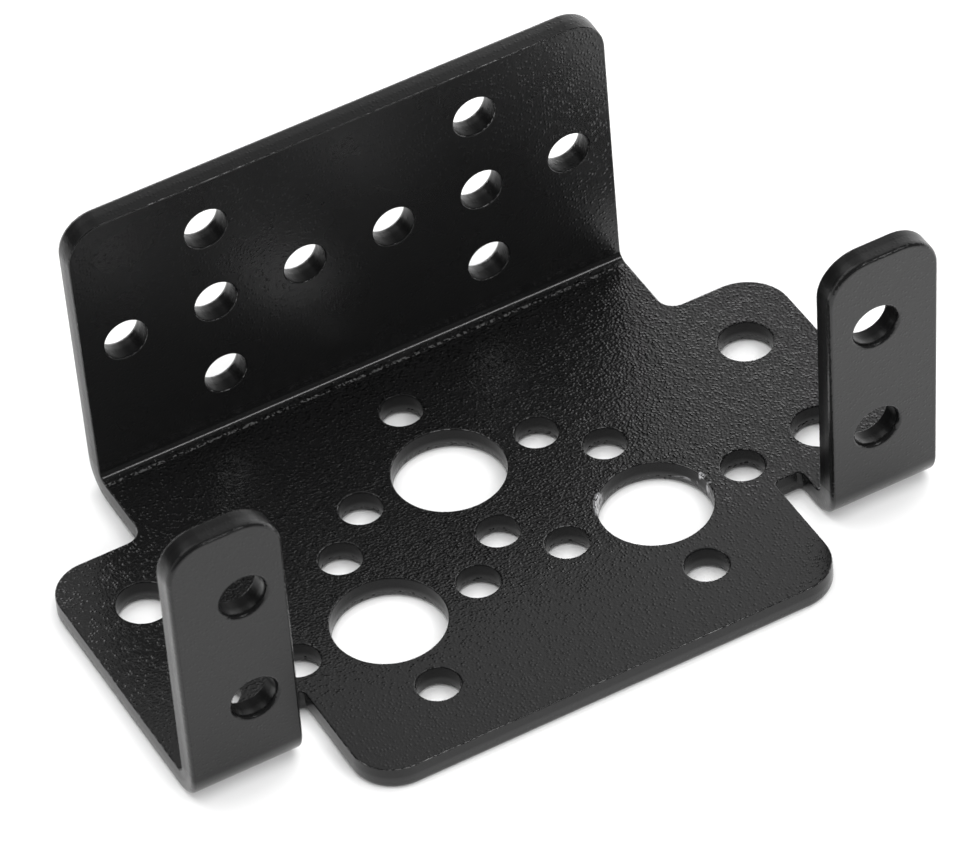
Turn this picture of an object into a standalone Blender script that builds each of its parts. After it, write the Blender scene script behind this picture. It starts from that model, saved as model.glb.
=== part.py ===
"""Servo mounting bracket: one piece of bent, punched sheet.

The underside lies on z = 0, X runs along the wings, and the tall flange stands at the back (+Y).
The two ears that a servo's side tabs are screwed to stand at the front (-Y), one on each wing.
"""

import math

import bmesh
import bpy
from mathutils import Matrix, Vector

MM = 0.001

SHEET = 1.8  # thickness, with the coat on both faces
INNER_BEND = 0.7  # inside bend radius
OUTER_BEND = 2.6  # outside bend radius

NECK_HALF_WIDTH = 20.8  # middle of the base and the whole flange
WING_HALF_LENGTH = 28.8
WING_BACK_Y = 10.4
WING_CORNER = 3.2
NECK_FILLET = 1.2
TONGUE_HALF_WIDTH = 18.4  # the part of the base between the two ears
TONGUE_FRONT_Y = -18.9
TONGUE_CORNER = 3.2
RELIEF_BACK_Y = -8.8  # blind end of the slots that free the ears for bending
RELIEF_CORNER = 0.3

FLANGE_BACK_Y = 18.9
FLANGE_HEIGHT = 24.6
FLANGE_CORNER = 2.8

EAR_FRONT_Y = -13.3
EAR_INNER_X = 20.5
EAR_HEIGHT = 24.2
EAR_CORNER = 3.0

HORN_PITCH = 7.0  # from the middle of a horn pattern to each of its four screw holes
HUB_HOLE = 8.0
HORN_HOLE = 3.0
HORN_CENTRES = ((0.0, 4.4), (10.5, -6.1), (-10.5, -6.1))

WING_HOLE = 3.9
WING_HOLE_X = 24.0
WING_HOLE_YS = (4.4, -5.6)

FLANGE_HOLE = 3.2
FLANGE_ROW_Z = 13.5
FLANGE_CROSS_X = 10.5

EAR_HOLE = 3.9
EAR_HOLE_X = 24.0
EAR_HOLE_ZS = (8.2, 18.0)

ARC_STEPS = 8  # segments of a quarter turn on corners and bends
CUT = 3.0  # how far a cutter stands out on each side


def clear_scene():
    for obj in list(bpy.data.objects):
        bpy.data.objects.remove(obj, do_unlink=True)


def new_collection(name, hidden):
    collection = bpy.data.collections.new(name)
    bpy.context.scene.collection.children.link(collection)
    collection.hide_render = hidden
    return collection


def arc_points(before, corner, after, radius):
    """Points of the fillet that replaces a corner, in order."""
    if radius <= 0:
        return [corner]
    to_before = (before - corner).normalized()
    to_after = (after - corner).normalized()
    half = to_before.angle(to_after) / 2
    centre = corner + (to_before + to_after).normalized() * (radius / math.sin(half))
    start = corner + to_before * (radius / math.tan(half)) - centre
    end = corner + to_after * (radius / math.tan(half)) - centre
    turn = start.angle_signed(end)
    count = max(2, round(ARC_STEPS * abs(turn) / (math.pi / 2)))
    points = []
    for step in range(count + 1):
        points.append(centre + Matrix.Rotation(-turn * step / count, 2) @ start)
    return points


def rounded(corners):
    """Outline points of (x, y, radius) corners, all in mm."""
    points = []
    for i, (x, y, radius) in enumerate(corners):
        before = Vector(corners[i - 1][:2])
        after = Vector(corners[(i + 1) % len(corners)][:2])
        points += arc_points(before, Vector((x, y)), after, radius)
    return points


def extruded(name, outline, low, high, axes, collection):
    """Solid of a closed outline pushed from low to high along the third axis.

    axes is "XY", "XZ" or "YZ": the two directions that the outline is drawn in.
    """
    curve = bpy.data.curves.new(name, "CURVE")
    curve.dimensions = "2D"
    curve.fill_mode = "BOTH"
    curve.extrude = (high - low) / 2 * MM
    spline = curve.splines.new("POLY")
    spline.points.add(len(outline) - 1)
    for place, point in zip(spline.points, outline):
        place.co = (point.x * MM, point.y * MM, 0, 1)
    spline.use_cyclic_u = True
    middle = (low + high) / 2 * MM
    placed = {
        "XY": Matrix(((1, 0, 0, 0), (0, 1, 0, 0), (0, 0, 1, middle), (0, 0, 0, 1))),
        "XZ": Matrix(((1, 0, 0, 0), (0, 0, -1, middle), (0, 1, 0, 0), (0, 0, 0, 1))),
        "YZ": Matrix(((0, 0, 1, middle), (1, 0, 0, 0), (0, 1, 0, 0), (0, 0, 0, 1))),
    }[axes]
    guide = bpy.data.objects.new(name + "_guide", curve)
    bpy.context.scene.collection.objects.link(guide)
    bpy.context.view_layer.update()
    graph = bpy.context.evaluated_depsgraph_get()
    mesh = bpy.data.meshes.new_from_object(guide.evaluated_get(graph))
    bpy.data.objects.remove(guide, do_unlink=True)
    bpy.data.curves.remove(curve)
    mesh.transform(placed)
    weld(mesh)
    mesh.name = name
    solid = bpy.data.objects.new(name, mesh)
    collection.objects.link(solid)
    return solid


def weld(mesh):
    shape = bmesh.new()
    shape.from_mesh(mesh)
    bmesh.ops.remove_doubles(shape, verts=shape.verts, dist=1e-7)
    bmesh.ops.recalc_face_normals(shape, faces=shape.faces)
    shape.to_mesh(mesh)
    shape.free()


def pin(name, centre, direction, diameter, steps, collection):
    """Round cutter through the sheet, along Z for the base or along Y for the upright walls."""
    shape = bmesh.new()
    bmesh.ops.create_cone(
        shape,
        cap_ends=True,
        segments=steps,
        radius1=diameter / 2 * MM,
        radius2=diameter / 2 * MM,
        depth=(SHEET + 2 * CUT) * MM,
    )
    half_step = Matrix.Rotation(math.pi / steps, 4, "Z")
    turned = Matrix.Rotation(math.pi / 2, 4, "X") if direction == "Y" else Matrix()
    shape.transform(Matrix.Translation(Vector(centre) * MM) @ turned @ half_step)
    mesh = bpy.data.meshes.new(name)
    shape.to_mesh(mesh)
    shape.free()
    cutter = bpy.data.objects.new(name, mesh)
    cutter.display_type = "WIRE"
    collection.objects.link(cutter)
    return cutter


def base_plate(cutters):
    """Flat part of the bracket: neck, wings and front tongue, with the relief slots between them."""
    flange_start = FLANGE_BACK_Y - OUTER_BEND
    ear_start = EAR_FRONT_Y + OUTER_BEND
    right = [
        (TONGUE_HALF_WIDTH, TONGUE_FRONT_Y, TONGUE_CORNER),
        (TONGUE_HALF_WIDTH, RELIEF_BACK_Y, RELIEF_CORNER),
        (EAR_INNER_X, RELIEF_BACK_Y, RELIEF_CORNER),
        (EAR_INNER_X, ear_start, 0),
        (WING_HALF_LENGTH, ear_start, 0),
        (WING_HALF_LENGTH, WING_BACK_Y, WING_CORNER),
        (NECK_HALF_WIDTH, WING_BACK_Y, NECK_FILLET),
        (NECK_HALF_WIDTH, flange_start, 0),
    ]
    left = [(-x, y, radius) for x, y, radius in reversed(right)]
    return extruded("base", rounded(right + left), 0, SHEET, "XY", cutters)


def bent_wall(name, low_x, high_x, wall_y, outward, height, cutters):
    """Upright wall with its bend. wall_y is its outer face, and outward is +1 at the back, -1 at the front."""
    inner_y = wall_y - outward * SHEET
    start_y = wall_y - outward * (OUTER_BEND + 1.0)
    side = [
        (start_y, 0, 0),
        (wall_y, 0, OUTER_BEND),
        (wall_y, height, 0),
        (inner_y, height, 0),
        (inner_y, SHEET, INNER_BEND),
        (start_y, SHEET, 0),
    ]
    if outward < 0:
        side.reverse()
    return extruded(name, rounded(side), low_x, high_x, "YZ", cutters)


def wall_blank(name, low_x, high_x, wall_y, outward, height, corner, cutters):
    """Front view of a wall, for trimming its two upper corners round."""
    front = [
        (low_x, -CUT, 0),
        (high_x, -CUT, 0),
        (high_x, height, corner),
        (low_x, height, corner),
    ]
    near = wall_y - outward * (OUTER_BEND + CUT)
    far = wall_y + outward * CUT
    return extruded(name, rounded(front), min(near, far), max(near, far), "XZ", cutters)


def boolean(target, operation, tool):
    step = target.modifiers.new(operation.title() + " " + tool.name, "BOOLEAN")
    step.operation = operation
    step.solver = "EXACT"
    step.object = tool


def walls(cutters):
    """Flange and ears, each trimmed to its rounded outline."""
    places = (
        ("flange", -NECK_HALF_WIDTH, NECK_HALF_WIDTH, FLANGE_BACK_Y, 1, FLANGE_HEIGHT, FLANGE_CORNER),
        ("ear_right", EAR_INNER_X, WING_HALF_LENGTH, EAR_FRONT_Y, -1, EAR_HEIGHT, EAR_CORNER),
        ("ear_left", -WING_HALF_LENGTH, -EAR_INNER_X, EAR_FRONT_Y, -1, EAR_HEIGHT, EAR_CORNER),
    )
    made = []
    for name, low_x, high_x, wall_y, outward, height, corner in places:
        wall = bent_wall(name, low_x, high_x, wall_y, outward, height, cutters)
        blank = wall_blank(name + "_blank", low_x, high_x, wall_y, outward, height, corner, cutters)
        boolean(wall, "INTERSECT", blank)
        made.append(wall)
    return made


def hole_cutters(cutters):
    """Every hole of the bracket as a round pin."""
    middle = SHEET / 2
    pins = []
    for i, (x, y) in enumerate(HORN_CENTRES):
        pins.append(pin(f"hub_{i}", (x, y, middle), "Z", HUB_HOLE, 48, cutters))
        for j, (step_x, step_y) in enumerate(((1, 0), (0, 1), (-1, 0), (0, -1))):
            place = (x + step_x * HORN_PITCH, y + step_y * HORN_PITCH, middle)
            pins.append(pin(f"horn_{i}_{j}", place, "Z", HORN_HOLE, 28, cutters))
    for side in (-1, 1):
        for j, y in enumerate(WING_HOLE_YS):
            place = (side * WING_HOLE_X, y, middle)
            pins.append(pin(f"wing_{side}_{j}", place, "Z", WING_HOLE, 32, cutters))
        for j, z in enumerate(EAR_HOLE_ZS):
            place = (side * EAR_HOLE_X, EAR_FRONT_Y + middle, z)
            pins.append(pin(f"ear_hole_{side}_{j}", place, "Y", EAR_HOLE, 32, cutters))
        wall_y = FLANGE_BACK_Y - middle
        for j in range(3):
            place = (side * (j + 0.5) * HORN_PITCH, wall_y, FLANGE_ROW_Z)
            pins.append(pin(f"row_{side}_{j}", place, "Y", FLANGE_HOLE, 28, cutters))
        for j, up in enumerate((-1, 1)):
            place = (side * FLANGE_CROSS_X, wall_y, FLANGE_ROW_Z + up * HORN_PITCH)
            pins.append(pin(f"cross_{side}_{j}", place, "Y", FLANGE_HOLE, 28, cutters))
    return pins


def joined(pins, cutters):
    """All the pins as one mesh, since none of them touches another."""
    shape = bmesh.new()
    for cutter in pins:
        shape.from_mesh(cutter.data)
        bpy.data.objects.remove(cutter, do_unlink=True)
    bmesh.ops.recalc_face_normals(shape, faces=shape.faces)
    mesh = bpy.data.meshes.new("holes")
    shape.to_mesh(mesh)
    shape.free()
    holes = bpy.data.objects.new("holes", mesh)
    holes.display_type = "WIRE"
    cutters.objects.link(holes)
    return holes


def black_coat():
    """Black powder coat: nearly black, half matt, with a fine grain."""
    material = bpy.data.materials.new("black_powder_coat")
    material.use_nodes = True
    shader = material.node_tree.nodes["Principled BSDF"]
    shader.inputs["Base Color"].default_value = (0.012, 0.012, 0.013, 1)
    shader.inputs["Metallic"].default_value = 0.0
    shader.inputs["Roughness"].default_value = 0.42
    shader.inputs["IOR"].default_value = 1.5
    return material


def finished(bracket):
    """Bracket with its Booleans applied, so that no long stack is left behind."""
    bpy.context.view_layer.update()
    graph = bpy.context.evaluated_depsgraph_get()
    mesh = bpy.data.meshes.new_from_object(bracket.evaluated_get(graph))
    weld(mesh)
    mesh.name = "servo_bracket"
    bracket.modifiers.clear()
    bracket.data = mesh
    return bracket


def main():
    clear_scene()
    parts = new_collection("servo_mounting_bracket", False)
    cutters = new_collection("cutters", True)
    bracket = base_plate(cutters)
    for wall in walls(cutters):
        boolean(bracket, "UNION", wall)
    boolean(bracket, "DIFFERENCE", joined(hole_cutters(cutters), cutters))
    finished(bracket)
    cutters.objects.unlink(bracket)
    parts.objects.link(bracket)
    bracket.name = "servo_bracket"
    bracket.data.materials.clear()
    bracket.data.materials.append(black_coat())
    bracket.data.shade_smooth()
    bracket.data.set_sharp_from_angle(angle=math.radians(30))
    for helper in cutters.objects:
        helper.display_type = "WIRE"
        helper.hide_render = True


main()
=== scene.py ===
"""Looks of the black servo mounting bracket: its folded sheet, its powder coat, and a plain studio.

Sizes and places on the sheet are in millimetres, and MM turns them into metres. The blank is drawn flat,
with its underside on z = 0 and the base plate where it stays. Then the flange and the ears are bent up.
"""

import math
from collections import namedtuple

import bmesh
import bpy
from mathutils import Matrix, Vector


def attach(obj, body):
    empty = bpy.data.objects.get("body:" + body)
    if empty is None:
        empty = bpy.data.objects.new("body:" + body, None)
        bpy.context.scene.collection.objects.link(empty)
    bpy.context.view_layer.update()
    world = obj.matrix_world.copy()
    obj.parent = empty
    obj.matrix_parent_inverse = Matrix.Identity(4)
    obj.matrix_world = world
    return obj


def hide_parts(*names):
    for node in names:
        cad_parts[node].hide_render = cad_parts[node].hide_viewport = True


MM = 0.001

# The sheet, its bends and its punched edges.
SHEET = 1.8
INNER_BEND = 0.7
OUTER_BEND = 2.6
FOLD_LENGTH = math.pi / 2 * (INNER_BEND + SHEET / 2)  # of blank taken up by a bend
FOLD_CUTS = 14
ROLLOVER_DEPTH = 0.45  # how far up a cut edge the punch drew the underside round
ROLLOVER_REACH = 0.28
ROLLOVER_STEP = 18  # degrees
CLEAN_CUT_TOP = 0.95  # above this the metal tore instead of being cut
TEAR_ONSET = 0.12  # the height over which the tear widens
HOLE_TEAR = 0.04  # how much wider the torn part of a hole ends up, on the radius
OUTLINE_TEAR = 0.02
LIP = 0.12  # the narrow rounding that the coat leaves on the sharp upper edge

# The outline, as far as its two halves are alike.
TONGUE_HALF_WIDTH = 18.4
TONGUE_FRONT_Y = -19.05
TONGUE_RADIUS = 3.2
RELIEF_BACK_Y = -8.8
RELIEF_RADIUS = 0.35
EAR_INNER_X = 20.5
EAR_HEIGHT = 24.35
EAR_INNER_RADIUS = 3.1
EAR_OUTER_RADIUS = 2.9
NECK_RADIUS = 1.25
FLANGE_BACK_Y = 18.9
FLANGE_HEIGHT = 24.78
FLANGE_RADIUS = 2.8
FLANGE_OVER_BEND = 0.8  # degrees past square, as a press brake never stops at exactly 90
CORNER_STEPS = 14

# The halves differ a little, because the real bracket isn't quite even. under_bend is in degrees.
Half = namedtuple(
    "Half",
    "side ear_x wing_x wing_back_y wing_radius neck_x ear_front_y ear_hole_x under_bend",
)
RIGHT = Half(
    side=1,
    ear_x=29.1,
    wing_x=28.7,
    wing_back_y=10.46,
    wing_radius=3.5,
    neck_x=20.84,
    ear_front_y=-13.24,
    ear_hole_x=24.15,
    under_bend=3.2,
)
LEFT = Half(
    side=-1,
    ear_x=28.88,
    wing_x=28.88,
    wing_back_y=10.4,
    wing_radius=3.0,
    neck_x=20.93,
    ear_front_y=-13.12,
    ear_hole_x=23.68,
    under_bend=2.2,
)
FLANGE_FOLD_Y = FLANGE_BACK_Y - OUTER_BEND
EARS_FROM_X = EAR_INNER_X - 1  # in the gap between the tongue and an ear

# The holes: diameters, and centres as designed.
HUB_HOLE = 8.05
HUB_CENTRES = ((0.0, 4.4), (10.5, -6.1), (-10.5, -6.1))
CHIPPED_HUB_CENTRE = HUB_CENTRES[1]
HORN_HOLE = 3.05
HORN_PITCH = 7.0
WING_HOLE = 3.9
WING_HOLES = ((23.95, 4.4), (23.95, -5.65))
FLANGE_HOLE = 3.15
FLANGE_ROW_Z = 13.5
FLANGE_CROSS_X = 10.5
EAR_HOLE = 3.35
EAR_HOLE_ZS = (8.05, 17.87)
HUB_STEPS = 96
HOLE_STEPS = 56

# How the punched holes stray from the designed ones: shifts, and factors of the distance.
BASE_SHIFT_X = 0.06
BASE_SHIFT_Y = 0.11
BASE_STRETCH_X = 0.994
BASE_STRETCH_Y = 1.0166
FLANGE_SHIFT_LEFT = 0.06
FLANGE_SHIFT_UP = 0.11
FLANGE_STRETCH_X = 0.997
FLANGE_SLANT = 0.0085
FLANGE_SQUEEZE = 0.0155

# The coat. Its colours are linear, and its textures are counted per metre.
COAT_BLACK = (0.0045, 0.0045, 0.0046, 1)
# Grey of worn coat on lips, also used for painted highlights: glints along lips and a line where the
# flange's bend starts.
SCUFF_AND_HIGHLIGHT_GREY = (0.09, 0.09, 0.09, 1)
BARE_METAL = (0.40, 0.40, 0.41, 1)
PEBBLES = 4300
PEBBLE_HEIGHT = 0.37
PEEL_WAVES = 800
PEEL_HEIGHT = 0.04
FINE_WAVES = 5000
FINE_HEIGHT = 0.05
# Where the painted highlight lies: a line just in front of where the flange's bend starts.
BEND_HIGHLIGHT_Y = FLANGE_FOLD_Y - 0.04

# The studio, in metres and watts. The glossy coat shows only a lamp that is mirrored.
FLOOR_SIZE = 4
FLOOR_GAP = 0.00005
TABLE_WHITE = (0.92, 0.92, 0.92, 1)
OVERHEAD = {"place": (0.15, 0.0, 0.95), "size": (1.2, 1.2), "power": 11.0, "mirrored": False}
FILL = {"place": (-0.1, -0.9, 0.35), "size": (1.6, 0.6), "power": 13.0, "mirrored": False}
STRIP = {"place": (0.30, -0.59, 0.75), "size": (0.30, 0.10), "power": 1.05, "mirrored": True}
BACK_WALL = (0.30, 0.66, 0.69)
CAMERA_SIDE = (-0.30, -0.66, 0.69)
LOW_ON_THE_LEFT = (-0.68, 0.68, 0.26)
DARK = 0.05

# The camera, in degrees and millimetres. Its shifts are parts of the frame's width.
CAMERA_AZIMUTH = 24.466
CAMERA_ELEVATION = 43.643
CAMERA_ROLL = -5.947
CAMERA_TARGET = (0.76, -0.30, 10.0)
CAMERA_DISTANCE = 500.45
LENS = 269.99
SENSOR_WIDTH = 36
SHIFT_X = 0.0066
SHIFT_Y = 0.0015
F_STOP = 130


# ---- The blank's outline and holes ----


def arc_points(before, corner, after, radius):
    """Points of the fillet that replaces a corner, in order."""
    to_before = (before - corner).normalized()
    to_after = (after - corner).normalized()
    half_angle = to_before.angle(to_after) / 2
    centre = corner + (to_before + to_after).normalized() * (radius / math.sin(half_angle))
    start = corner + to_before * (radius / math.tan(half_angle)) - centre
    end = corner + to_after * (radius / math.tan(half_angle)) - centre
    turn = start.angle_signed(end)
    turns = [-turn * i / CORNER_STEPS for i in range(CORNER_STEPS + 1)]
    return [centre + Matrix.Rotation(part_turn, 2) @ start for part_turn in turns]


def rounded(corners):
    """The closed loop of points through corners (x, y, radius)."""
    points = []
    for i, (x, y, radius) in enumerate(corners):
        before = Vector(corners[i - 1][:2])
        after = Vector(corners[(i + 1) % len(corners)][:2])
        points += arc_points(before, Vector((x, y)), after, radius)
    return points


def flange_blank_y(z):
    """Where a point at height z on the flange lies on the flat blank."""
    return FLANGE_FOLD_Y + FOLD_LENGTH + z - OUTER_BEND


def ear_fold_y(half):
    return half.ear_front_y + OUTER_BEND


def ear_blank_y(half, z):
    """Where a point at height z on an ear lies on the flat blank."""
    return ear_fold_y(half) - FOLD_LENGTH - (z - OUTER_BEND)


def half_outline(half):
    """Corners (x, y, radius) of one half of the blank, from the front to the flange's top."""
    ear_top = ear_blank_y(half, EAR_HEIGHT)
    corners = [
        (TONGUE_HALF_WIDTH, TONGUE_FRONT_Y, TONGUE_RADIUS),
        (TONGUE_HALF_WIDTH, RELIEF_BACK_Y, RELIEF_RADIUS),
        (EAR_INNER_X, RELIEF_BACK_Y, RELIEF_RADIUS),
        (EAR_INNER_X, ear_top, EAR_INNER_RADIUS),
        (half.ear_x, ear_top, EAR_OUTER_RADIUS),
        (half.wing_x, half.wing_back_y, half.wing_radius),
        (half.neck_x, half.wing_back_y, NECK_RADIUS),
        (half.neck_x, flange_blank_y(FLANGE_HEIGHT), FLANGE_RADIUS),
    ]
    return [(half.side * x, y, radius) for x, y, radius in corners]


def blank_outline():
    return rounded(half_outline(RIGHT) + half_outline(LEFT)[::-1])


def base_hole(x, y, diameter):
    """A hole designed for (x, y) on the base, where the punch really put it."""
    return (BASE_SHIFT_X + BASE_STRETCH_X * x, BASE_SHIFT_Y + BASE_STRETCH_Y * y, diameter)


def flange_hole(x, z):
    """A hole designed for (x, z) on the flange, where the punch really put it on the blank."""
    off_row = z - FLANGE_ROW_Z
    real_x = FLANGE_STRETCH_X * x - FLANGE_SHIFT_LEFT - FLANGE_SLANT * off_row
    real_z = z + FLANGE_SHIFT_UP - FLANGE_SQUEEZE * off_row
    return (real_x, flange_blank_y(real_z), FLANGE_HOLE)


def blank_holes():
    """(x, y, diameter) of every hole punched in the flat blank."""
    holes = []
    for x, y in HUB_CENTRES:
        holes.append(base_hole(x, y, HUB_HOLE))
        for step_x, step_y in ((1, 0), (0, 1), (-1, 0), (0, -1)):
            holes.append(base_hole(x + step_x * HORN_PITCH, y + step_y * HORN_PITCH, HORN_HOLE))
    for z in EAR_HOLE_ZS:
        for half in (RIGHT, LEFT):
            holes.append((half.side * half.ear_hole_x, ear_blank_y(half, z), EAR_HOLE))
    for side in (-1, 1):
        for x, y in WING_HOLES:
            holes.append(base_hole(side * x, y, WING_HOLE))
        for j in range(3):
            holes.append(flange_hole(side * (j + 0.5) * HORN_PITCH, FLANGE_ROW_Z))
        for up in (-1, 1):
            holes.append(flange_hole(side * FLANGE_CROSS_X, FLANGE_ROW_Z + up * HORN_PITCH))
    return holes


def hole_loop(x, y, diameter):
    """A hole's points in clockwise order, which leaves the metal on their left."""
    steps = HUB_STEPS if diameter == HUB_HOLE else HOLE_STEPS
    turns = [-2 * math.pi * i / steps for i in range(steps)]
    centre = Vector((x, y))
    return [centre + Vector((math.cos(turn), math.sin(turn))) * diameter / 2 for turn in turns]


# ---- The punched sheet ----


def into_sheet(loop, distance):
    """Moves each point of a loop sideways into the metal, which lies on the loop's left."""
    moved = []
    for i, point in enumerate(loop):
        after = (loop[(i + 1) % len(loop)] - point).normalized()
        along = ((point - loop[i - 1]).normalized() + after).normalized()
        moved.append(point + Vector((-along.y, along.x)) * (distance / along.dot(after)))
    return moved


def edge_profile(tear):
    """(inset, height, rubbed, torn) of the rings up a punched edge, from the underside to the top."""
    ragged = tear / HOLE_TEAR
    rings = []
    for degrees in range(0, 91, ROLLOVER_STEP):
        turn = math.radians(degrees)
        inset = ROLLOVER_REACH * (1 - math.sin(turn))
        height = ROLLOVER_DEPTH * (1 - math.cos(turn))
        rings.append((inset, height, 0.5 if 0 < degrees < 90 else 0.0, 0.0))
    rings.append((0.0, CLEAN_CUT_TOP, 0.0, 0.7 * ragged))
    rings.append((0.3 * tear, CLEAN_CUT_TOP + TEAR_ONSET, 0.0, ragged))
    rings.append((tear, SHEET - LIP, 0.0, ragged))
    rings.append((tear + 0.3 * LIP, SHEET - 0.3 * LIP, 1.0, 0.0))
    rings.append((tear + LIP, SHEET, 0.0, 0.0))
    return rings


def filled(loops, height):
    """Mesh of the flat area between an outline and its holes."""
    curve = bpy.data.curves.new("face", "CURVE")
    curve.dimensions = "2D"
    curve.fill_mode = "BOTH"
    for loop in loops:
        spline = curve.splines.new("POLY")
        spline.points.add(len(loop) - 1)
        for place, point in zip(spline.points, loop):
            place.co = (point.x * MM, point.y * MM, 0, 1)
        spline.use_cyclic_u = True
    guide = bpy.data.objects.new("face_guide", curve)
    bpy.context.scene.collection.objects.link(guide)
    bpy.context.view_layer.update()
    graph = bpy.context.evaluated_depsgraph_get()
    mesh = bpy.data.meshes.new_from_object(guide.evaluated_get(graph))
    bpy.data.objects.remove(guide, do_unlink=True)
    bpy.data.curves.remove(curve)
    mesh.transform(Matrix.Translation((0, 0, height * MM)))
    return mesh


def add_flat_faces(shape, loops):
    """The underside and the top, each reaching as far as the first or last ring of its edges."""
    for end in (0, -1):
        height = edge_profile(OUTLINE_TEAR)[end][1]
        mesh = filled([into_sheet(loop, edge_profile(tear)[end][0]) for loop, tear in loops], height)
        shape.from_mesh(mesh)
        bpy.data.meshes.remove(mesh)


def add_edge(shape, loop, tear):
    """The strip of faces up one punched edge, its points marked by how near a rounded rim and how torn
    they are.
    """
    rim_rounding_layer = shape.verts.layers.float["rubbed"]
    torn_layer = shape.verts.layers.float["torn"]
    below = None
    for inset, height, rubbed, torn in edge_profile(tear):
        points = into_sheet(loop, inset)
        ring = [shape.verts.new((point.x * MM, point.y * MM, height * MM)) for point in points]
        for vert in ring:
            vert[rim_rounding_layer] = rubbed
            vert[torn_layer] = torn
        if below:
            for i in range(len(ring)):
                shape.faces.new((below[i - 1], below[i], ring[i], ring[i - 1]))
        below = ring


def flat_blank():
    """The punched flat sheet as a bmesh, its underside on z = 0."""
    loops = [(blank_outline(), OUTLINE_TEAR)]
    loops += [(hole_loop(*hole), HOLE_TEAR) for hole in blank_holes()]
    shape = bmesh.new()
    add_flat_faces(shape, loops)
    shape.verts.layers.float.new("rubbed")
    shape.verts.layers.float.new("torn")
    for loop, tear in loops:
        add_edge(shape, loop, tear)
    bmesh.ops.remove_doubles(shape, verts=shape.verts, dist=1e-7)
    return shape


# ---- Bending ----


def cut_across(shape, y):
    """Splits every face that crosses a line of constant y, so that the sheet can bend there."""
    everything = list(shape.verts) + list(shape.edges) + list(shape.faces)
    line = (0, y * MM, 0)
    bmesh.ops.bisect_plane(shape, geom=everything, dist=1e-8, plane_co=line, plane_no=(0, 1, 0))


def fold_at(x, y):
    """(direction along y, start y, degrees) of the bend that a point follows, or None on the base."""
    if y > FLANGE_FOLD_Y:
        return 1, FLANGE_FOLD_Y, 90 + FLANGE_OVER_BEND
    for half in (RIGHT, LEFT):
        if half.side * x > EARS_FROM_X and y < ear_fold_y(half):
            return -1, ear_fold_y(half), 90 - half.under_bend
    return None


def folded(x, y, z):
    """Where a point of the blank ends up once the walls are bent up, and how far it turned about X."""
    fold = fold_at(x, y)
    if fold is None:
        return (x, y, z), 0.0
    outward, start, degrees = fold
    full = math.radians(degrees)
    along = abs(y - start)
    turn = full * min(along / FOLD_LENGTH, 1)
    straight = max(along - FOLD_LENGTH, 0)
    radius = OUTER_BEND + (INNER_BEND - OUTER_BEND) * z / SHEET
    centre = z + radius
    out = OUTER_BEND - centre + radius * math.sin(turn) + straight * math.cos(full)
    up = centre - radius * math.cos(turn) + straight * math.sin(full)
    return (x, start + outward * out, up), outward * turn


def soft_normals(shape):
    """A normal for each vertex: square to the sheet on its flat faces, and averaged round the rims."""
    normals = []
    for vert in shape.verts:
        total = Vector((0, 0, 0))
        flat = Vector((0, 0, 0))
        for face in vert.link_faces:
            total += face.normal * face.calc_area()
            if abs(face.normal.z) > 0.9999:
                flat += face.normal
        normals.append((flat if flat.length > 0 else total).normalized())
    return normals


def bracket():
    """The folded sheet. Its normals are taken from the flat blank, and turn with the bends."""
    shape = flat_blank()
    for i in range(FOLD_CUTS + 1):
        step = FOLD_LENGTH * i / FOLD_CUTS
        cut_across(shape, FLANGE_FOLD_Y + step)
        cut_across(shape, ear_fold_y(RIGHT) - step)
        cut_across(shape, ear_fold_y(LEFT) - step)
    bmesh.ops.recalc_face_normals(shape, faces=shape.faces)
    shape.normal_update()
    normals = soft_normals(shape)
    for i, vert in enumerate(shape.verts):
        place, turn = folded(*(vert.co / MM))
        vert.co = Vector(place) * MM
        normals[i] = Matrix.Rotation(turn, 3, "X") @ normals[i]
    mesh = bpy.data.meshes.new("bracket_sheet")
    shape.to_mesh(mesh)
    shape.free()
    mesh.shade_smooth()
    mesh.normals_split_custom_set_from_vertices(normals)
    piece = bpy.data.objects.new("bracket_sheet", mesh)
    bpy.context.scene.collection.objects.link(piece)
    return piece


# ---- Shader nodes in short ----


def node(tree, kind, **settings):
    made = tree.nodes.new(kind)
    for name, value in settings.items():
        setattr(made, name, value)
    return made


def feed(tree, socket, value):
    """Puts a number or a colour into a socket, or joins another node's output to it."""
    if isinstance(value, (int, float, tuple)):
        socket.default_value = value
    else:
        tree.links.new(value, socket)


def maths(tree, operation, first, second=0.0):
    made = node(tree, "ShaderNodeMath", operation=operation)
    feed(tree, made.inputs[0], first)
    feed(tree, made.inputs[1], second)
    return made.outputs[0]


def product(tree, first, *others):
    result = first
    for other in others:
        result = maths(tree, "MULTIPLY", result, other)
    return result


def largest(tree, first, *others):
    result = first
    for other in others:
        result = maths(tree, "MAXIMUM", result, other)
    return result


def ramp(tree, value, start, end, low=0.0, high=1.0):
    """low up to start, high from end on, eased between; start may be the larger of the two."""
    made = node(tree, "ShaderNodeMapRange", interpolation_type="SMOOTHSTEP")
    feed(tree, made.inputs["Value"], value)
    for name, number in (("From Min", start), ("From Max", end), ("To Min", low), ("To Max", high)):
        feed(tree, made.inputs[name], number)
    return made.outputs["Result"]


def ramp_mm(tree, length, start, end, low=0.0, high=1.0):
    """ramp() for a length that the shader has in metres, between limits in millimetres."""
    return ramp(tree, length, start * MM, end * MM, low, high)


def blend(tree, factor, first, second):
    made = node(tree, "ShaderNodeMix", data_type="FLOAT")
    feed(tree, made.inputs[0], factor)
    feed(tree, made.inputs[2], first)
    feed(tree, made.inputs[3], second)
    return made.outputs[0]


def blend_colours(tree, factor, first, second):
    made = node(tree, "ShaderNodeMix", data_type="RGBA")
    feed(tree, made.inputs[0], factor)
    feed(tree, made.inputs[6], first)
    feed(tree, made.inputs[7], second)
    return made.outputs[2]


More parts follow.
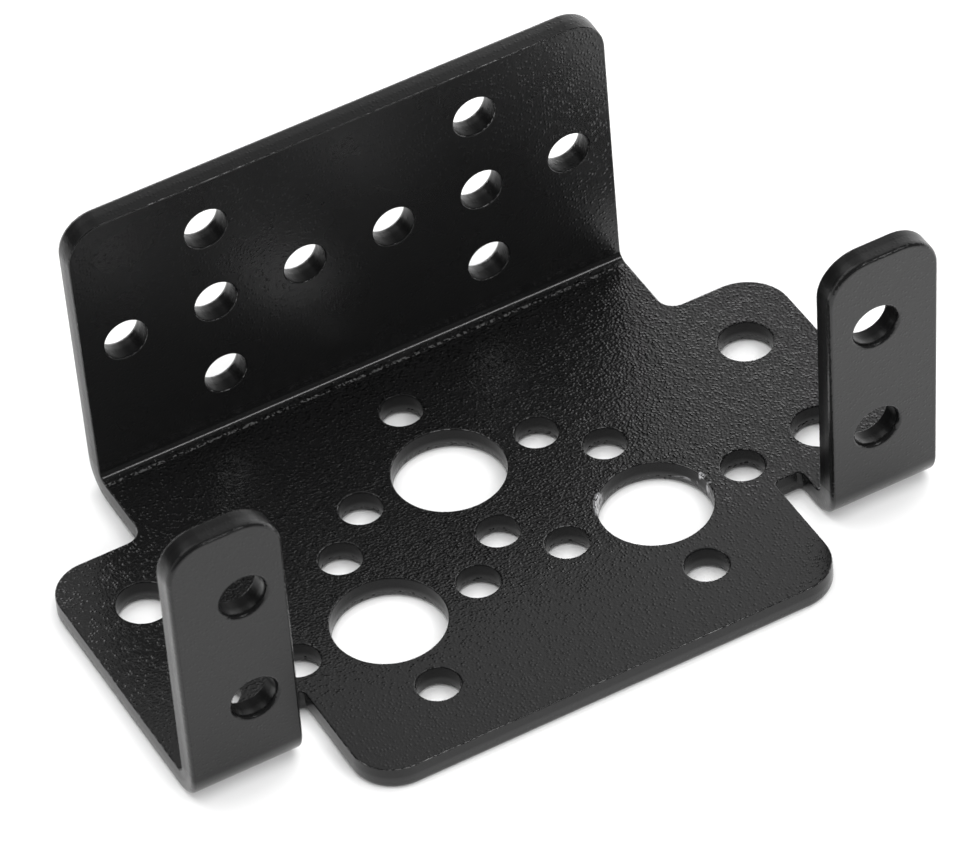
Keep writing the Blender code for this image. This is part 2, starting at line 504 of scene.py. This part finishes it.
def noise(tree, place, scale, detail=0.0, distortion=0.0):
    made = node(tree, "ShaderNodeTexNoise")
    made.inputs["Scale"].default_value = scale
    made.inputs["Detail"].default_value = detail
    made.inputs["Distortion"].default_value = distortion
    tree.links.new(place, made.inputs["Vector"])
    return made.outputs["Fac"]


def bump(tree, height, highest, strength, below=None):
    """The normal of a relief, highest being in millimetres, laid over the relief below."""
    made = node(tree, "ShaderNodeBump")
    made.inputs["Distance"].default_value = highest * MM
    feed(tree, made.inputs["Strength"], strength)
    tree.links.new(height, made.inputs["Height"])
    if below is not None:
        tree.links.new(below, made.inputs["Normal"])
    return made.outputs["Normal"]


# ---- The powder coat ----

# What the shader knows of a spot: its place, and how near a rounded rim, how torn and how flat the sheet
# is, from 0 to 1.
Spot = namedtuple("Spot", "place x y z rubbed torn lies_flat")


def shaded_spot(tree):
    place = node(tree, "ShaderNodeTexCoord").outputs["Object"]
    axes = node(tree, "ShaderNodeSeparateXYZ")
    tree.links.new(place, axes.inputs[0])
    x, y, z = axes.outputs
    rubbed = node(tree, "ShaderNodeAttribute", attribute_name="rubbed").outputs["Fac"]
    torn = node(tree, "ShaderNodeAttribute", attribute_name="torn").outputs["Fac"]
    lies_flat = ramp_mm(tree, z, SHEET + 0.13, SHEET + 0.02)
    return Spot(place, x, y, z, rubbed, torn, lies_flat)


def pebbles(tree, place):
    """Rounded grains of cured powder, packed side by side and of uneven height."""
    cells = node(tree, "ShaderNodeTexVoronoi")
    cells.inputs["Scale"].default_value = PEBBLES
    tree.links.new(place, cells.inputs["Vector"])
    dome = ramp(tree, cells.outputs["Distance"], 0.0, 0.62, 1.0, 0.0)
    lot = node(tree, "ShaderNodeSeparateColor")
    tree.links.new(cells.outputs["Color"], lot.inputs[0])
    mostly_low = maths(tree, "POWER", lot.outputs[0], 3.5)
    return maths(tree, "MULTIPLY", dome, mostly_low)


def grain_strength(tree, spot):
    """Strongest at the back of the base, less to its front and left, and faint on walls and edges."""
    thick_at_back = ramp_mm(tree, spot.y, -12, -3, 0.13, 0.95)
    thin_at_left = ramp_mm(tree, spot.x, -26, -8, 0.38, 1.0)
    untorn = ramp(tree, spot.torn, 0.1, 0.4, 1.0, 0.0)
    on_base = product(tree, spot.lies_flat, thick_at_back, thin_at_left, untorn)
    right_of_flange = product(tree, ramp_mm(tree, spot.x, 8, 20), ramp_mm(tree, spot.y, 15, 16), 0.10)
    clear_of_bend = ramp_mm(tree, spot.z, SHEET + 0.4, SHEET + 1.2, 0.1, 1.0)
    on_walls = product(tree, maths(tree, "ADD", right_of_flange, 0.10), clear_of_bend)
    on_lip = maths(tree, "MULTIPLY", spot.rubbed, 0.3)
    on_tear = maths(tree, "MULTIPLY", spot.torn, 0.06)
    return largest(tree, on_base, on_walls, on_lip, on_tear)


def coat_relief(tree, spot):
    """Orange peel, pebbles over it, and a fine roughness over both."""
    grain = grain_strength(tree, spot)
    peel = bump(tree, noise(tree, spot.place, PEEL_WAVES, 1.0), PEEL_HEIGHT, grain)
    pebbled = bump(tree, pebbles(tree, spot.place), PEBBLE_HEIGHT, grain, peel)
    return bump(tree, noise(tree, spot.place, FINE_WAVES, 0.5), FINE_HEIGHT, grain, pebbled)


def lip_scuffs_and_glints(tree, spot):
    """Grey specks along stretches of the lips: partly worn coat, partly painted glints of the lamp on
    the rounded lips.
    """
    on_lip = ramp(tree, spot.rubbed, 0.55, 0.9)
    scuffed_and_glinting_stretch = ramp(tree, noise(tree, spot.place, 160, 2.0), 0.42, 0.60)
    specks = ramp(tree, noise(tree, spot.place, 3000, 2.0), 0.46, 0.60)
    return product(tree, on_lip, scuffed_and_glinting_stretch, specks)


def painted_bend_highlight(tree, spot):
    """A painted highlight: a broken grey line on the base along where the flange's bend starts, in front
    of the flange.
    """
    after_start = ramp_mm(tree, spot.y, BEND_HIGHLIGHT_Y - 0.22, BEND_HIGHLIGHT_Y - 0.06)
    before_end = ramp_mm(tree, spot.y, BEND_HIGHLIGHT_Y + 0.16, BEND_HIGHLIGHT_Y + 0.06)
    broken = ramp(tree, noise(tree, spot.place, 4600, 1.0), 0.47, 0.60)
    return product(tree, after_start, before_end, spot.lies_flat, broken)


def hub_chips(tree, spot):
    """Bare metal to the left and right in the chipped hub hole, where the coat broke off."""
    hub_x, hub_y, diameter = base_hole(*CHIPPED_HUB_CENTRE, HUB_HOLE)
    from_hub = node(tree, "ShaderNodeVectorMath", operation="DISTANCE")
    tree.links.new(spot.place, from_hub.inputs[0])
    from_hub.inputs[1].default_value = (hub_x * MM, hub_y * MM, SHEET * MM)
    by_rim = ramp_mm(tree, from_hub.outputs["Value"], diameter / 2 + 0.325, diameter / 2 + 0.125)
    above_foot = ramp_mm(tree, spot.z, 0.4, 1.0)
    off_centre = maths(tree, "ABSOLUTE", maths(tree, "SUBTRACT", spot.x, hub_x * MM))
    at_sides = ramp_mm(tree, off_centre, 2.2, 3.0)
    patches = ramp(tree, noise(tree, spot.place, 420, 3.0, 0.6), 0.56, 0.60)
    return product(tree, by_rim, above_foot, at_sides, patches)


def coat_roughness(tree, spot):
    """Rougher up the walls than on the base, in bends and on lips, rougher where torn, and clouded."""
    above_base = ramp_mm(tree, spot.z, SHEET, SHEET + 0.1)
    below_wall = ramp_mm(tree, spot.z, SHEET + 1.4, SHEET + INNER_BEND)
    in_bend = maths(tree, "MULTIPLY", above_base, below_wall)
    smooth = largest(tree, spot.lies_flat, in_bend, spot.rubbed)
    clouds = maths(tree, "MULTIPLY", noise(tree, spot.place, 220, 3.0), 0.10)
    clouds = maths(tree, "SUBTRACT", clouds, 0.05)
    roughness = maths(tree, "ADD", ramp(tree, smooth, 0.0, 1.0, 0.28, 0.18), clouds)
    return maths(tree, "ADD", roughness, maths(tree, "MULTIPLY", spot.torn, 0.08))


def coat_gloss(tree, spot):
    """How strongly the coat reflects: less up the walls and to their left, and least where torn."""
    on_flange = ramp_mm(tree, spot.y, 0, 5)
    ear_gloss = ramp_mm(tree, spot.x, 0, 18, 0.30, 0.39)
    flange_gloss = ramp_mm(tree, spot.x, 0, 18, 0.36, 0.5)
    wall_gloss = blend(tree, on_flange, ear_gloss, flange_gloss)
    gloss = blend(tree, ramp_mm(tree, spot.z, SHEET + 0.2, SHEET + 0.8), 0.5, wall_gloss)
    return maths(tree, "MULTIPLY", gloss, ramp(tree, spot.torn, 0.1, 0.8, 1.0, 0.31))


def powder_coat():
    """Black powder coat, chipped at one hub hole. It has grey specks along lips that are partly wear and
    partly painted glints, and a painted highlight as a broken grey line where the flange's bend starts.
    """
    material = bpy.data.materials.new("black_powder_coat")
    material.use_nodes = True
    tree = material.node_tree
    tree.nodes.clear()
    out = node(tree, "ShaderNodeOutputMaterial")
    shader = node(tree, "ShaderNodeBsdfPrincipled")
    tree.links.new(shader.outputs[0], out.inputs["Surface"])
    spot = shaded_spot(tree)
    chips = hub_chips(tree, spot)
    # Grey marks: partly worn coat on lips, partly painted highlights along lips and where the flange's
    # bend starts.
    scuffs_and_highlights = largest(tree, painted_bend_highlight(tree, spot), lip_scuffs_and_glints(tree, spot))
    coat = blend_colours(tree, scuffs_and_highlights, COAT_BLACK, SCUFF_AND_HIGHLIGHT_GREY)
    feed(tree, shader.inputs["Base Color"], blend_colours(tree, chips, coat, BARE_METAL))
    feed(tree, shader.inputs["Metallic"], chips)
    feed(tree, shader.inputs["Roughness"], coat_roughness(tree, spot))
    feed(tree, shader.inputs["Specular IOR Level"], coat_gloss(tree, spot))
    feed(tree, shader.inputs["Normal"], coat_relief(tree, spot))
    feed(tree, shader.inputs["IOR"], 1.5)
    return material


# ---- The studio ----


def pale_floor():
    material = bpy.data.materials.new("white_table")
    material.use_nodes = True
    shader = material.node_tree.nodes["Principled BSDF"]
    shader.inputs["Base Color"].default_value = TABLE_WHITE
    shader.inputs["Roughness"].default_value = 0.9
    shader.inputs["Specular IOR Level"].default_value = 0.0
    bpy.ops.mesh.primitive_plane_add(size=FLOOR_SIZE, location=(0, 0, -FLOOR_GAP))
    floor = bpy.context.object
    floor.name = "floor"
    floor.data.materials.append(material)


def soft_light(name, place, size, power, mirrored):
    """A rectangular lamp that faces the bracket."""
    data = bpy.data.lights.new(name, "AREA")
    data.shape = "RECTANGLE"
    data.size, data.size_y = size
    data.energy = power
    lamp = bpy.data.objects.new(name, data)
    lamp.location = place
    lamp.rotation_euler = (Vector((0, 0, 0)) - Vector(place)).to_track_quat("-Z", "Y").to_euler()
    lamp.visible_glossy = mirrored
    bpy.context.scene.collection.objects.link(lamp)


def towards(tree, sky, direction, edge, core):
    """1 near a direction of the sky and 0 away from it, the two limits given as cosines."""
    along = node(tree, "ShaderNodeVectorMath", operation="DOT_PRODUCT")
    tree.links.new(sky, along.inputs[0])
    along.inputs[1].default_value = Vector(direction).normalized()
    return ramp(tree, along.outputs["Value"], edge, core)


def light_tent():
    """The world: bright over the back, dim over the front, dark by the camera and low on the left."""
    world = bpy.data.worlds.new("studio")
    bpy.context.scene.world = world
    world.use_nodes = True
    tree = world.node_tree
    background = tree.nodes["Background"]
    sky = node(tree, "ShaderNodeTexCoord").outputs["Generated"]
    axes = node(tree, "ShaderNodeSeparateXYZ")
    tree.links.new(sky, axes.inputs[0])
    ceiling = ramp(tree, axes.outputs[1], 0.02, 0.14, 0.14, 2.0)
    back_wall = ramp(tree, axes.outputs[0], 0.20, 0.44, 0.44, 1.25)
    light = blend(tree, towards(tree, sky, BACK_WALL, 0.72, 0.88), ceiling, back_wall)
    light = blend(tree, towards(tree, sky, CAMERA_SIDE, 0.78, 0.96), light, DARK)
    light = blend(tree, towards(tree, sky, LOW_ON_THE_LEFT, 0.80, 0.93), light, DARK)
    tree.links.new(light, background.inputs["Strength"])
    background.inputs["Color"].default_value = (1, 1, 1, 1)


def studio():
    """White table in a light tent, a lamp above and one in front, and a strip that the bend mirrors."""
    pale_floor()
    light_tent()
    soft_light("overhead", **OVERHEAD)
    soft_light("fill", **FILL)
    soft_light("strip", **STRIP)
    bpy.context.scene.view_settings.view_transform = "Standard"


def camera(subject):
    """Looks down at the subject from its front left, with a slight roll, from half a metre away."""
    azimuth = math.radians(CAMERA_AZIMUTH)
    elevation = math.radians(CAMERA_ELEVATION)
    roll = math.radians(CAMERA_ROLL)
    level = math.cos(elevation)
    ahead = Vector((math.sin(azimuth) * level, math.cos(azimuth) * level, -math.sin(elevation)))
    right = Vector((math.cos(azimuth), -math.sin(azimuth), 0))
    up = right.cross(ahead)
    turned_right = right * math.cos(roll) + up * math.sin(roll)
    turned_up = up * math.cos(roll) - right * math.sin(roll)
    data = bpy.data.cameras.new("camera")
    data.sensor_width = SENSOR_WIDTH
    data.lens = LENS
    data.shift_x = SHIFT_X
    data.shift_y = SHIFT_Y
    data.clip_start = 0.01
    data.dof.use_dof = True
    data.dof.focus_object = subject
    data.dof.aperture_fstop = F_STOP
    view = bpy.data.objects.new("camera", data)
    place = Vector(CAMERA_TARGET) * MM - ahead * (CAMERA_DISTANCE * MM)
    axes = Matrix((turned_right, turned_up, -ahead)).transposed().to_4x4()
    view.matrix_world = Matrix.Translation(place) @ axes
    bpy.context.scene.collection.objects.link(view)
    bpy.context.scene.camera = view


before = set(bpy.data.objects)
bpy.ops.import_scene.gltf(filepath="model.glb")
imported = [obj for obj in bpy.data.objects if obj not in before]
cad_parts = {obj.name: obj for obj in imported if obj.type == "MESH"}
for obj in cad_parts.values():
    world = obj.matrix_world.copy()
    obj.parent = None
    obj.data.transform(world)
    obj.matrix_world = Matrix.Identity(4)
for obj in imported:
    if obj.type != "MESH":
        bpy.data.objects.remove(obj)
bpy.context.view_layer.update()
sheet = bracket()
sheet.data.materials.append(powder_coat())
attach(sheet, "root")
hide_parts("servo_bracket")
studio()
camera(sheet)
